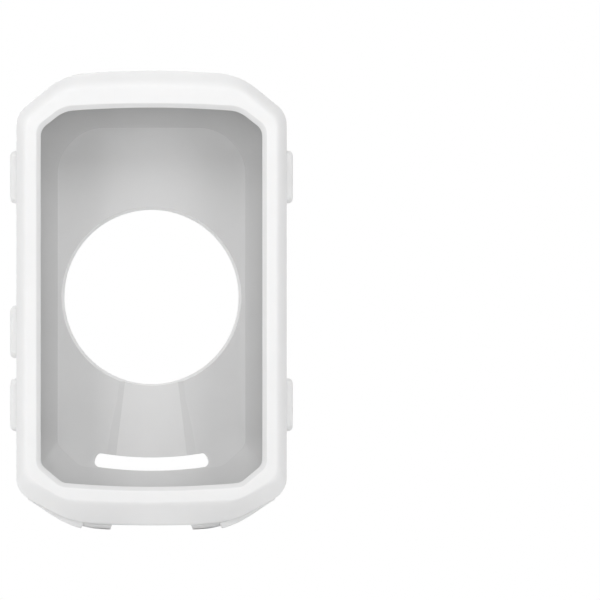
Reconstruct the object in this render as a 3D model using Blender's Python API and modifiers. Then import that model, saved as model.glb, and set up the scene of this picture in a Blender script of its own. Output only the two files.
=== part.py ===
"""Silicone protective case for a button-operated cycling computer.

Metres, +Z up, the open screen side facing -Y. The origin is on the floor of the pocket, on the axis of
the round mount hole. Sizes below are in millimetres, and depths run from the front face to the back.
"""

import math

import bmesh
import bpy
from mathutils import Matrix, Vector

MM = 0.001

# Shell
WIDTH = 57.6  # across the bumper rim
HEIGHT = 97.9  # from the feet to the top of the rim
FOOT = -49.7  # height of the feet, from the axis of the mount hole
DEPTH = 19.5  # front face to back plate
PLATE = 2.2  # thickness of the back plate
WALL = 1.6  # thickness of the side wall
LIP = 1.8  # thickness of the lip over the screen edge
LIP_BEVEL = 0.9  # depth of the sloping inner edge of the lip
RIM_DEPTH = 5.0  # depth of the widest line of the bumper rim
SHOULDER_DEPTH = 12.0  # depth where the side wall turns into the back chamfer
SKIN = 2.2  # back skin on the chamfers, measured front to back
SLOPE_SKIN = 1.8  # back skin on the lower slope, measured front to back
SWELL = 0.35  # how far the back chamfer bulges in its middle
LIP_ROUND = 1.0  # depth over which the pocket wall runs into the lip
RIM_STEP = 0.5  # how much deeper than outside the pocket wall is widest
SHOULDER_STEP = 0.7  # how much less deep than outside the pocket wall turns into the chamfer
BLEND = 3.0  # height above an outline's lower corner where the back starts to fall away

# Mount hole and the arm channel below it
HOLE_DIAMETER = 37.0
HOLE_BEVEL = 0.75
CHANNEL_TOP = -15.0
CHANNEL_END = 0.2  # how far above the slot's middle it ends
CHANNEL_DEPTH = 1.3
CHANNEL_HALF = 5.3  # half width of its floor at the top
CHANNEL_FLARE = 0.264  # how fast the half width grows downwards
CHANNEL_DRAFT = 1.25  # sideways run of its walls for each millimetre of depth
RELIEF_DEPTH = 0.2  # how far the inside of the channel floor is sunk into the pocket floor
RELIEF_HALF = 5.2
RELIEF_FLARE = 0.11
RELIEF_DRAFT = 2.0

# Curved slot, bottom cut-out and lanyard notch
SLOT_HALF = 12.1
SLOT_HEIGHT = 2.6
SLOT_RISE = 14.3  # height of its middle above the feet
SLOT_SAG = 0.9
SLOT_DRAFT = 1.05
SLOT_FLARE = 4.0  # depth in front of the back plate where its lower side starts to fall away
CUTOUT_HEIGHT = 4.0  # height of its top above the feet
CUTOUT_HALF = 7.2
CUTOUT_FLARE = 0.43
CUTOUT_RISE = 4.0  # how far it reaches forward of the shoulder
CUTOUT_ROUND = 1.1
CUTOUT_LENGTH = 8.0  # down to where its cutter has left the case
NOTCH_SIDE = 6.4  # from the rim to its middle
NOTCH_RISE = 7.7  # height of its middle above the feet
NOTCH_WIDTH = 3.5
NOTCH_LENGTH = 5.2
NOTCH_TURN = 28.0  # degrees
NOTCH_WEB = 0.8  # wall left between the notch and the pad's window

# Button pads
FIT = 0.3  # gap round a pad in its window
PAD_LENGTH = 11.2
PAD_WIDTH = 4.2
PAD_FORWARD = 0.8  # how far a pad's middle is in front of the middle of the side wall
PAD_PROUD = 1.06
PAD_CORNER = 1.2
PAD_EDGE = 0.8
WINDOW_REACH = 4.0  # how far a window's cutter passes the pad at both ends
PAD_HEIGHTS_LEFT = {"upper_left_pad": 25.5, "middle_left_pad": -7.4, "lower_left_pad": -22.9}
PAD_HEIGHTS_RIGHT = {"upper_right_pad": 25.5, "lower_right_pad": -22.9}
CORNER_PAD_SIDE = 2.5  # from the rim to its outer end
CORNER_PAD_RUN = 11.8  # width that it covers
CORNER_PAD_PROUD = 1.0
CORNER_PAD_LEAN = 23.6  # degrees from straight down

HALF = WIDTH / 2
TOP = FOOT + HEIGHT
FLOOR = DEPTH - PLATE
SLOT_Z = FOOT + SLOT_RISE
CHANNEL_BOTTOM = SLOT_Z + CHANNEL_END
CUTOUT_TOP = FOOT + CUTOUT_HEIGHT
NOTCH_X = NOTCH_SIDE - HALF
NOTCH_Z = FOOT + NOTCH_RISE
CORNER_PAD_OUTER = HALF - CORNER_PAD_SIDE
CORNER_PAD_INNER = CORNER_PAD_OUTER - CORNER_PAD_RUN
PAD_DEPTH = (RIM_DEPTH + SHOULDER_DEPTH) / 2 - PAD_FORWARD
CUTOUT_FRONT = SHOULDER_DEPTH - CUTOUT_RISE
NOTCH_FRONT = PAD_DEPTH + PAD_WIDTH / 2 + FIT + NOTCH_WEB
ARC_STEPS = 5
CROWN_STEPS = 6
HOLE_STEPS = 96
WHITE = (0.86, 0.86, 0.855)
SHARP = 30.0  # degrees between faces that keep a sharp edge


class Section:
    """One outline of the case: straight sides, cut corners with rounds, and crowned ends.

    It is given as margins from the case's half width, its top and its foot.
    """

    def __init__(self, side, top, top_corner, top_side, bottom_side, bottom_corner, bottom, rounds):
        self.half = HALF - side
        self.top = TOP - top
        self.top_corner = (HALF - top_corner[0], TOP - top_corner[1])
        self.top_side = TOP - top_side
        self.bottom_side = FOOT + bottom_side
        self.bottom_corner = (HALF - bottom_corner[0], FOOT + bottom_corner[1])
        self.bottom = FOOT + bottom
        self.rounds = rounds


OPENING = Section(5.3, 8.0, (10.6, 8.9), 13.6, 14.4, (10.2, 10.4), 9.4, (2.5, 2.5, 2.5, 3.5))
LAND_IN = Section(4.3, 7.0, (10.1, 7.9), 13.1, 13.9, (9.7, 9.5), 8.5, (3.0, 3.0, 3.0, 4.0))
LAND_OUT = Section(2.45, 4.0, (9.9, 5.0), 11.3, 12.1, (10.6, 7.2), 6.3, (7.0, 4.0, 4.0, 8.0))
RIM = Section(0.0, 0.0, (9.95, 1.0), 9.05, 8.3, (12.0, 1.8), 1.2, (15.0, 5.2, 5.0, 22.0))
SHOULDER = Section(1.1, 2.6, (10.6, 3.6), 12.0, 8.3, (12.0, 1.1), 0.0, (15.0, 5.2, 5.0, 22.0))
EDGE = Section(7.9, 11.4, (14.8, 11.5), 18.7, 18.2, (13.4, 13.4), 12.7, (5.0, 5.0, 3.0, 4.0))
PLATE_EDGE = Section(8.7, 12.3, (15.2, 12.4), 19.1, 21.3, (14.1, 17.7), 17.2, (4.6, 4.6, 3.0, 4.0))
PLATE_MID = Section(9.2, 12.9, (15.5, 13.0), 19.4, 24.7, (14.6, 22.1), 21.7, (4.3, 4.3, 3.0, 4.0))
PLATE_IN = Section(9.7, 13.5, (15.8, 13.6), 19.7, 29.7, (15.0, 28.0), 27.7, (4.0, 4.0, 3.0, 4.0))

# The back, from the middle of the plate outwards: outline, how far it has fallen away from the plate at the
# sides and at the bottom, and the inset of the pocket floor's outline
BACK = (
    (PLATE_IN, 0.0, 0.0, 0.1),
    (PLATE_MID, 0.0, 0.15, 0.15),
    (PLATE_EDGE, 0.1, 0.6, 0.25),
    (EDGE, 0.7, 1.9, 0.25),
)
# The bumper's roll: share of the way from the front land to the widest line, and the share of the depth
# there at the sides and at the bottom
ROLL = ((0.27, 0.07, 0.22), (0.52, 0.24, 0.48), (0.77, 0.55, 0.74))


def fillet(before, corner, after, radius):
    """Points of the round that joins two straight lines at a corner."""
    before, corner, after = Vector(before), Vector(corner), Vector(after)
    back = (before - corner).normalized()
    on = (after - corner).normalized()
    half_angle = back.angle(on) / 2
    middle = corner + (back + on).normalized() * (radius / math.sin(half_angle))
    start = corner + back * (radius / math.tan(half_angle)) - middle
    turn = start.angle_signed(corner + on * (radius / math.tan(half_angle)) - middle)
    points = []
    for step in range(ARC_STEPS + 1):
        angle = -turn * step / ARC_STEPS
        points.append(middle + Matrix.Rotation(angle, 2) @ start)
    return points


def crown(apex, end):
    """Points of a shallow curve from the middle of an end to where its corner round starts."""
    points = []
    for step in range(CROWN_STEPS):
        x = end.x * step / CROWN_STEPS
        points.append(Vector((x, apex + (end.y - apex) * (step / CROWN_STEPS) ** 2)))
    return points


def outline(section):
    """The closed outline as (x, z) points, clockwise from the middle of the top."""
    corner_1, corner_2 = section.top_corner, (section.half, section.top_side)
    corner_3, corner_4 = (section.half, section.bottom_side), section.bottom_corner
    top_aim = (0.0, 2 * section.top - corner_1[1])
    bottom_aim = (0.0, 2 * section.bottom - corner_4[1])
    round_1 = fillet(top_aim, corner_1, corner_2, section.rounds[0])
    round_2 = fillet(corner_1, corner_2, corner_3, section.rounds[1])
    round_3 = fillet(corner_2, corner_3, corner_4, section.rounds[2])
    round_4 = fillet(corner_3, corner_4, bottom_aim, section.rounds[3])
    right = crown(section.top, round_1[0]) + round_1 + round_2 + round_3 + round_4
    right += crown(section.bottom, round_4[-1])[::-1]
    left = [Vector((-p.x, p.y)) for p in right[-2:0:-1]]
    return right + left


def inset(points, distance):
    """The outline moved inwards by a distance."""
    moved = []
    for i, point in enumerate(points):
        along = (points[(i + 1) % len(points)] - points[i - 1]).normalized()
        moved.append(point + Vector((along.y, -along.x)) * distance)
    return moved


def between(first, second, share):
    """The outline part of the way from one outline to another."""
    return [a.lerp(b, share) for a, b in zip(first, second, strict=True)]


def at_depth(points, depth, bottom_depth=None, start=0.0, end=-1.0):
    """Outline points at a depth, which changes to bottom_depth from height start down to height end."""
    bottom_depth = depth if bottom_depth is None else bottom_depth
    placed = []
    for p in points:
        t = min(max((start - p.y) / (start - end), 0.0), 1.0)
        t = t * t * (3 - 2 * t)
        placed.append(Vector((p.x, depth + (bottom_depth - depth) * t, p.y)))
    return placed


def fall_away(section, points, depth, bottom_depth):
    """An outline of the back, which is less deep towards the bottom."""
    return at_depth(points, depth, bottom_depth, section.bottom_side + BLEND, section.bottom_corner[1])


def chamfer_loop():
    """The middle of the back chamfer, which bulges at the sides and the top and is straight at the bottom."""
    edge, side_fall, bottom_fall, _ = BACK[-1]
    depth = (SHOULDER_DEPTH + DEPTH - side_fall) / 2 + SWELL
    bottom_depth = (SHOULDER_DEPTH + DEPTH - bottom_fall) / 2
    start = (SHOULDER.bottom_side + edge.bottom_side) / 2 + BLEND
    end = (SHOULDER.bottom_corner[1] + edge.bottom_corner[1]) / 2
    return at_depth(between(outline(SHOULDER), outline(edge), 0.5), depth, bottom_depth, start, end)


def shell_loops():
    """The skin as outlines, from the pocket floor forwards, round the lip and back to the back plate."""
    opening, land_in, land_out = outline(OPENING), outline(LAND_IN), outline(LAND_OUT)
    rim, shoulder = outline(RIM), outline(SHOULDER)
    floor, back = [], []
    for section, side_fall, bottom_fall, margin in BACK:
        flat = PLATE if side_fall == 0 else SKIN
        slope = PLATE if side_fall == 0 else SLOPE_SKIN
        side, bottom = DEPTH - side_fall, DEPTH - bottom_fall
        points = outline(section)
        back.append(fall_away(section, points, side, bottom))
        floor.append(fall_away(section, inset(points, margin), side - flat, bottom - slope))
    wall = [
        at_depth(inset(shoulder, WALL), SHOULDER_DEPTH - SHOULDER_STEP),
        at_depth(inset(rim, WALL), RIM_DEPTH + RIM_STEP),
        at_depth(inset(between(land_out, rim, 0.5), WALL), LIP + LIP_ROUND),
    ]
    lip = [
        at_depth(opening, LIP),
        at_depth(opening, LIP_BEVEL),
        at_depth(land_in, 0.0),
        at_depth(land_out, 0.0),
    ]
    bumper = []
    for share, side_share, bottom_share in ROLL:
        side, bottom = side_share * RIM_DEPTH, bottom_share * RIM_DEPTH
        points = between(land_out, rim, share)
        bumper.append(at_depth(points, side, bottom, OPENING.bottom_side, LAND_OUT.bottom_corner[1]))
    outside = [at_depth(rim, RIM_DEPTH), at_depth(shoulder, SHOULDER_DEPTH), chamfer_loop()]
    return floor + wall + lip + bumper + outside + back[::-1]


def to_frame(point):
    """A point in millimetres, with depth from the front, as a point of the part in metres."""
    return Vector((point[0], point[1] - FLOOR, point[2])) * MM


def collection(name):
    made = bpy.data.collections.new(name)
    bpy.context.scene.collection.children.link(made)
    return made


def silicone(name, colour):
    material = bpy.data.materials.new(name)
    material.use_nodes = True
    shader = material.node_tree.nodes["Principled BSDF"]
    shader.inputs["Base Color"].default_value = (*colour, 1.0)
    shader.inputs["Roughness"].default_value = 0.5
    return material


def finish(name, mesh, home, origin=(0.0, 0.0, 0.0)):
    """Turns a bmesh in the part's frame into an object whose origin is at the given point."""
    bmesh.ops.recalc_face_normals(mesh, faces=mesh.faces)
    bmesh.ops.translate(mesh, verts=mesh.verts, vec=-Vector(origin))
    data = bpy.data.meshes.new(name)
    mesh.to_mesh(data)
    mesh.free()
    data.shade_smooth()
    data.set_sharp_from_angle(angle=math.radians(SHARP))
    made = bpy.data.objects.new(name, data)
    made.location = origin
    home.objects.link(made)
    return made


def loft(name, loops, home):
    """A solid through a row of outlines with the same number of points, closed at both ends."""
    mesh = bmesh.new()
    rows = [[mesh.verts.new(to_frame(p)) for p in loop] for loop in loops]
    count = len(rows[0])
    for first, second in zip(rows, rows[1:], strict=False):
        for i in range(count):
            j = (i + 1) % count
            mesh.faces.new((first[i], first[j], second[j], second[i]))
    mesh.faces.new(rows[0])
    mesh.faces.new(rows[-1])
    return finish(name, mesh, home)


def cutter(name, home, *levels):
    """A cutter through outlines of (x, z) points, each with its depth."""
    return loft(name, [[Vector((x, depth, z)) for x, z in points] for points, depth in levels], home)


def trapezoid(half, flare):
    """The channel's outline, growing wider downwards."""
    bottom = half + flare * (CHANNEL_TOP - CHANNEL_BOTTOM)
    return [(-half, CHANNEL_TOP), (half, CHANNEL_TOP), (bottom, CHANNEL_BOTTOM), (-bottom, CHANNEL_BOTTOM)]


def slot_outline(drop):
    """The curved slot with round ends. Its lower side is moved down by drop."""
    radius = SLOT_HEIGHT / 2
    reach = SLOT_HALF - radius
    upper, lower = [], []
    for step in range(-8, 9):
        x = reach * step / 8
        middle = SLOT_Z + SLOT_SAG * (step / 8) ** 2
        upper.append((x, middle + radius))
        lower.append((x, middle - radius - drop))
    right, left = [], []
    middle = SLOT_Z + SLOT_SAG
    for step in range(1, 8):
        angle = math.pi * step / 8
        x, z = radius * math.sin(angle), radius * math.cos(angle)
        fall = drop * (1 - math.cos(angle)) / 2
        right.append((reach + x, middle + z - fall))
        left.append((-reach - x, middle + z - fall))
    return upper + right + lower[::-1] + left[::-1]


def cutout_outline():
    """The bottom cut-out with round upper corners."""
    low = CUTOUT_TOP - CUTOUT_LENGTH
    foot = CUTOUT_HALF + CUTOUT_FLARE * CUTOUT_LENGTH
    right = fillet((0.0, CUTOUT_TOP), (CUTOUT_HALF, CUTOUT_TOP), (foot, low), CUTOUT_ROUND)
    points = [(p.x, p.y) for p in right] + [(foot, low)]
    return points + [(-x, z) for x, z in points[::-1]]


def notch_outline():
    """The lanyard notch, which runs off the lower corner."""
    half = NOTCH_WIDTH / 2
    upper = NOTCH_LENGTH / 2
    turn = Matrix.Rotation(math.radians(-NOTCH_TURN), 2)
    right = fillet((0.0, upper), (half, upper), (half, -2 * NOTCH_LENGTH), half / 3)
    points = [*right, Vector((half, -2 * NOTCH_LENGTH))]
    points += [Vector((-p.x, p.y)) for p in points[::-1]]
    centre = Vector((NOTCH_X, NOTCH_Z))
    return [tuple(centre + turn @ p) for p in points]


def rounded_block(name, centre, size, corner, edge, turn, home):
    """A block with round corners seen along its local X, and its outer edge rounded if edge is given."""
    mesh = bmesh.new()
    bmesh.ops.create_cube(mesh, size=1.0)
    bmesh.ops.scale(mesh, vec=Vector(size) * MM, verts=mesh.verts)
    long = [e for e in mesh.edges if abs((e.verts[0].co - e.verts[1].co).x) > size[0] * MM / 2]
    bmesh.ops.bevel(
        mesh, geom=long, offset=corner * MM, segments=4, profile=0.5, affect="EDGES", clamp_overlap=True
    )
    if edge:
        outer = max(mesh.faces, key=lambda f: f.calc_center_median().x)
        bmesh.ops.bevel(
            mesh, geom=list(outer.edges), offset=edge * MM, segments=3, profile=0.5, affect="EDGES"
        )
    bmesh.ops.transform(mesh, matrix=turn, verts=mesh.verts)
    origin = to_frame(centre)
    bmesh.ops.translate(mesh, verts=mesh.verts, vec=origin)
    return finish(name, mesh, home, origin)


def subtract(target, cutter):
    """Cuts one object from another with a Boolean."""
    boolean = target.modifiers.new(cutter.name, "BOOLEAN")
    boolean.operation = "DIFFERENCE"
    boolean.solver = "EXACT"
    boolean.object = cutter
    cutter.hide_render = True
    cutter.display_type = "WIRE"


def wall_half(depth):
    """Half width of the case at a depth on its side wall."""
    share = (depth - RIM_DEPTH) / (SHOULDER_DEPTH - RIM_DEPTH)
    return RIM.half + (SHOULDER.half - RIM.half) * share


def corner_wall():
    """The right lower corner of the wall at the pads' depth, as (x, z) points under the pad."""
    share = (PAD_DEPTH - RIM_DEPTH) / (SHOULDER_DEPTH - RIM_DEPTH)
    loop = between(outline(RIM), outline(SHOULDER), share)
    low = [p for p in loop if p.x > 0 and p.y < 0]
    points = []
    for step in range(9):
        x = CORNER_PAD_OUTER + (CORNER_PAD_INNER - CORNER_PAD_OUTER) * step / 8
        for a, b in zip(low, low[1:], strict=False):
            if min(a.x, b.x) <= x <= max(a.x, b.x):
                points.append(a.lerp(b, (x - a.x) / (b.x - a.x)))
                break
    return points


def corner_pad(name, side, home, cutters):
    """A pad that follows the curve of a lower corner, and the straight window that it slides in."""
    lean = math.radians(CORNER_PAD_LEAN)
    out = Vector((math.sin(lean), -math.cos(lean)))
    along = Vector((math.cos(lean), math.sin(lean)))
    wall = corner_wall()
    profile = [p + out * CORNER_PAD_PROUD for p in wall] + [p - out * WALL for p in wall[::-1]]
    near, far = PAD_DEPTH - PAD_WIDTH / 2, PAD_DEPTH + PAD_WIDTH / 2
    middle = sum(wall, Vector((0.0, 0.0))) / len(wall)
    mesh = bmesh.new()
    face = mesh.faces.new([mesh.verts.new(to_frame((side * p.x, near, p.y))) for p in profile])
    grown = bmesh.ops.extrude_face_region(mesh, geom=[face])["geom"]
    moved = [g for g in grown if isinstance(g, bmesh.types.BMVert)]
    bmesh.ops.translate(mesh, verts=moved, vec=Vector((0.0, (far - near) * MM, 0.0)))
    pad = finish(name, mesh, home, to_frame((side * middle.x, PAD_DEPTH, middle.y)))
    bevel = pad.modifiers.new("edges", "BEVEL")
    bevel.width = PAD_EDGE * MM
    bevel.segments = 3
    bevel.limit_method = "ANGLE"
    bevel.angle_limit = math.radians(40.0)
    reach = [along.dot(p) for p in (wall[0], wall[-1])]
    length = max(reach) - min(reach) + 2 * FIT
    centre = along * (sum(reach) / 2) + out * out.dot(middle)
    turn = Matrix.Rotation(-side * lean, 4, "Y")
    window = rounded_block(
        name + "_window",
        (side * centre.x, PAD_DEPTH, centre.y),
        (length, PAD_WIDTH + 2 * FIT, WALL + CORNER_PAD_PROUD + 2 * WINDOW_REACH),
        0.01,
        0.0,
        turn,
        cutters,
    )
    return pad, window


def side_pad(name, side, height, home, cutters):
    """A pad on a straight side, and its window."""
    outer = RIM.half + PAD_PROUD
    inner = wall_half(PAD_DEPTH) - WALL
    turn = Matrix.Identity(4) if side > 0 else Matrix.Rotation(math.pi, 4, "Z")
    centre = (side * (outer + inner) / 2, PAD_DEPTH, height)
    size = (outer - inner, PAD_WIDTH, PAD_LENGTH)
    pad = rounded_block(name, centre, size, PAD_CORNER, PAD_EDGE, turn, home)
    hole = (outer - inner + 2 * WINDOW_REACH, PAD_WIDTH + 2 * FIT, PAD_LENGTH + 2 * FIT)
    window = rounded_block(name + "_window", centre, hole, PAD_CORNER + FIT, 0.0, turn, cutters)
    return pad, window


def circle(radius):
    """A circle round the mount hole's axis, as (x, z) points."""
    turns = [2 * math.pi * step / HOLE_STEPS for step in range(HOLE_STEPS)]
    return [(radius * math.sin(turn), radius * math.cos(turn)) for turn in turns]


def build():
    for old in list(bpy.data.objects):
        bpy.data.objects.remove(old)
    home = collection("cycling_computer_case")
    cutters = collection("cutters")

    sleeve = loft("sleeve", shell_loops(), home)
    made, tools = [sleeve], []
    floor, rise = DEPTH - CHANNEL_DEPTH, 2 * CHANNEL_DEPTH
    low = trapezoid(CHANNEL_HALF, CHANNEL_FLARE)
    high = trapezoid(CHANNEL_HALF + rise * CHANNEL_DRAFT, CHANNEL_FLARE)
    tools.append(cutter("arm_channel", cutters, (low, floor), (high, floor + rise)))

    floor, rise = FLOOR + RELIEF_DEPTH, PLATE
    low = trapezoid(RELIEF_HALF, RELIEF_FLARE)
    high = trapezoid(RELIEF_HALF + rise * RELIEF_DRAFT, RELIEF_FLARE)
    tools.append(cutter("channel_relief", cutters, (low, floor), (high, floor - rise)))

    bore = circle(HOLE_DIAMETER / 2)
    mouth = circle(HOLE_DIAMETER / 2 + 2 * HOLE_BEVEL)
    levels = (mouth, FLOOR - HOLE_BEVEL), (bore, FLOOR + HOLE_BEVEL), (bore, DEPTH + PLATE)
    tools.append(cutter("mount_hole", cutters, *levels))

    start, run = DEPTH - SLOT_FLARE, SLOT_FLARE + PLATE
    level, flared = slot_outline(0.0), slot_outline(run * SLOT_DRAFT)
    levels = (level, start - SLOT_FLARE), (level, start), (flared, start + run)
    tools.append(cutter("slot", cutters, *levels))

    port = cutout_outline()
    tools.append(cutter("cutout", cutters, (port, CUTOUT_FRONT), (port, DEPTH + PLATE)))
    notch = notch_outline()
    tools.append(cutter("notch", cutters, (notch, NOTCH_FRONT), (notch, DEPTH + PLATE)))

    for side, heights in ((-1, PAD_HEIGHTS_LEFT), (1, PAD_HEIGHTS_RIGHT)):
        for name, height in heights.items():
            pad, window = side_pad(name, side, height, home, cutters)
            made.append(pad)
            tools.append(window)
    for side, name in ((-1, "bottom_left_pad"), (1, "bottom_right_pad")):
        pad, window = corner_pad(name, side, home, cutters)
        made.append(pad)
        tools.append(window)

    for tool in tools:
        subtract(sleeve, tool)
    for piece in made:
        piece.data.materials.append(silicone(piece.name + "_silicone", WHITE))


build()
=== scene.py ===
# %% [markdown]
# # A silicone case for a cycling computer
# The real object is one soft moulding: a white silicone sleeve that a cycling computer is pushed into from
# the front. The imported CAD model gives every size and every joint. It is loaded first and stays where it
# is, and each piece made here rides on one of its bodies. The box of the CAD model is kept, and the last
# cell lays the floor just under it.

# %% Load the imported case
import math

import bmesh
import bpy
from mathutils import Matrix, Vector


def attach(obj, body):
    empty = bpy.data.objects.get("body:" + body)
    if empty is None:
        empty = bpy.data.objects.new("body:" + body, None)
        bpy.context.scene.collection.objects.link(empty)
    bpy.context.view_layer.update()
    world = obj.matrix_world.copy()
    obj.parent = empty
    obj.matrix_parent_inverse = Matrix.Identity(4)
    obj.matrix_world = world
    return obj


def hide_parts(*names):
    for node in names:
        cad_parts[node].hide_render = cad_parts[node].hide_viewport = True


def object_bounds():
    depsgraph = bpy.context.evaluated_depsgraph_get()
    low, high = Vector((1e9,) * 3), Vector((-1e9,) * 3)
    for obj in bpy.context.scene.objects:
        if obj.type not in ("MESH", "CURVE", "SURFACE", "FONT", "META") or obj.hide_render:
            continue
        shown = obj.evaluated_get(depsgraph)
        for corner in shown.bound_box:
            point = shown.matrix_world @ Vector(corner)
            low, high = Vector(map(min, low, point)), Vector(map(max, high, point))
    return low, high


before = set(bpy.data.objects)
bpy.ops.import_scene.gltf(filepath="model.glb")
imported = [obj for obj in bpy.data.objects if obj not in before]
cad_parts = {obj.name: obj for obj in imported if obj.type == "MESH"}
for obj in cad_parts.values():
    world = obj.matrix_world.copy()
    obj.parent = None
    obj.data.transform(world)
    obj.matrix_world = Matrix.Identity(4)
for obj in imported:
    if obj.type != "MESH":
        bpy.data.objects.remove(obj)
cad_low, cad_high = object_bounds()
size_mm = [round(1000 * s, 1) for s in cad_high - cad_low]
print("CAD nodes:", sorted(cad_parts), "box in mm:", size_mm)

# %% [markdown]
# ## The outlines of the case
# Seen from the front the case is the same figure again and again: straight sides, four cut corners with
# rounds, and slightly crowned ends. Only its size changes from the screen opening to the back plate. So
# each outline is a short row of sizes in millimetres: half width, top, top corner, end of the top cut,
# start of the bottom cut, bottom corner, bottom, and the four rounds. Heights count from the axis of the
# mount hole and depths from the front face. The pocket floor has outlines of its own, with rounder upper
# corners than the back plate has, and the sole and the foot make a step behind the lower edge of the rim.

# %% Sizes of the outlines
OPENING = (23.5, 40.2, (18.6, 39.42), 35.58, -35.6, (18.9, -39.45), -40.3, (6.2, 3.0, 2.5, 3.0))
LAND_IN = (24.5, 41.2, (18.9, 40.55), 36.25, -36.1, (19.4, -40.35), -41.2, (6.7, 3.5, 3.0, 3.5))
LAND_OUT = (26.35, 44.2, (18.9, 43.2), 37.3, -38.2, (18.8, -42.8), -43.5, (7.0, 4.0, 4.0, 8.0))
RIM = (28.8, 48.2, (18.85, 47.2), 39.15, -41.4, (16.8, -47.9), -48.5, (15.0, 5.2, 5.0, 22.0))
SHOULDER = (27.7, 45.6, (18.2, 44.6), 36.2, -41.4, (16.8, -48.6), -49.7, (15.0, 5.2, 5.0, 22.0))
SOLE = (28.6, 47.75, (18.75, 46.75), 38.65, -41.4, (16.8, -47.95), -48.55, (15.0, 5.2, 5.0, 22.0))
FOOT = (28.45, 47.4, (18.65, 46.4), 38.25, -41.4, (16.8, -48.45), -49.5, (15.0, 5.2, 5.0, 22.0))
EDGE = (20.9, 36.8, (14.0, 36.7), 29.5, -31.5, (15.4, -36.3), -37.0, (5.0, 5.0, 3.0, 4.0))
PLATE_EDGE = (20.1, 35.9, (13.6, 35.8), 29.1, -28.4, (14.7, -32.0), -32.5, (4.6, 4.6, 3.0, 4.0))
PLATE_MID = (19.6, 35.3, (13.3, 35.2), 28.8, -25.0, (14.2, -27.6), -28.0, (4.3, 4.3, 3.0, 4.0))
PLATE_IN = (19.1, 34.7, (13.0, 34.6), 28.5, -20.0, (13.8, -21.7), -22.0, (4.0, 4.0, 3.0, 4.0))
FLOOR_EDGE = (19.95, 36.0, (14.2, 35.9), 29.8, -31.5, (15.1, -36.0), -36.7, (9.5, 9.5, 3.0, 4.0))
FLOOR_OUT = (19.2, 35.2, (13.8, 35.1), 29.4, -28.4, (14.5, -32.9), -33.4, (9.0, 9.0, 3.0, 4.0))
FLOOR_MID = (18.8, 34.6, (13.5, 34.5), 29.0, -25.0, (14.0, -27.4), -27.8, (8.5, 8.5, 3.0, 4.0))
FLOOR_IN = (18.4, 34.0, (13.2, 33.9), 28.6, -20.0, (13.7, -21.6), -21.9, (8.0, 8.0, 3.0, 4.0))

DEPTH = 19.5
PLATE = 2.2
FLOOR = DEPTH - PLATE
WALL = 1.6
RIM_DEPTH = 5.0
SHOULDER_DEPTH = 12.0
print("pocket floor at depth", FLOOR, "mm, rim", 2 * RIM[0], "mm wide")

# %% [markdown]
# ## Ruler and compass
# A draughtsman would draw half of the outline with a ruler and a compass and then mirror it. The operators
# do the same: extruding a vertex is the ruler, and extruding and rotating it step by step is the compass.
# Two calculations go with them, for the round at a corner and for the shallow arc at an end of the case.

# %% Ruler and compass
def flat(point):
    """A point (x, z) of a drawing, on the plane of the front face."""
    return Vector((point[0], 0.0, point[1]))


def rule(mesh, tip, end, steps):
    step = (end - tip.co) / steps
    for _ in range(steps):
        tip = bmesh.ops.extrude_vert_indiv(mesh, verts=[tip])["verts"][0]
        bmesh.ops.translate(mesh, vec=step, verts=[tip])
    return tip


def turn(mesh, tip, centre, angle, steps):
    step = Matrix.Rotation(angle / steps, 3, "Y")
    for _ in range(steps):
        tip = bmesh.ops.extrude_vert_indiv(mesh, verts=[tip])["verts"][0]
        bmesh.ops.rotate(mesh, cent=centre, matrix=step, verts=[tip])
    return tip


def corner_round(before, corner, after, radius):
    """Start, centre and turn of the round that joins two straight lines at a corner."""
    back, on = (before - corner).normalized(), (after - corner).normalized()
    half = back.angle(on) / 2
    centre = corner + (back + on).normalized() * (radius / math.sin(half))
    return corner + back * (radius / math.tan(half)), centre, math.pi - 2 * half


def crown_arc(apex, end):
    """Centre and turn of the shallow arc from the middle of an end of the case to a corner round."""
    rise = abs(apex - end.z)
    radius = (end.x ** 2 + rise ** 2) / (2 * rise)
    toward = -1 if apex > end.z else 1
    return Vector((0.0, 0.0, apex + toward * radius)), math.asin(end.x / radius)


_, _, rim_turn = corner_round(flat((0.0, RIM[1])), flat(RIM[2]), flat((RIM[0], RIM[3])), RIM[7][0])
print("the upper corner of the rim turns by", round(math.degrees(rim_turn), 1), "degrees")

# %% [markdown]
# ## One outline
# Half of the outline is drawn from the middle of the top to the middle of the bottom, and mirror gives the
# other half. Each outline has the same number of points, so that any two of them can be bridged point by
# point. Where the pocket wall needs the outline moved inwards, it is filled for a moment and inset.

# %% Draw an outline
CROWN_STEPS, ROUND_STEPS, CUT_STEPS, SIDE_STEPS = 10, 8, 3, 14
NEAR = 0.001


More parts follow.
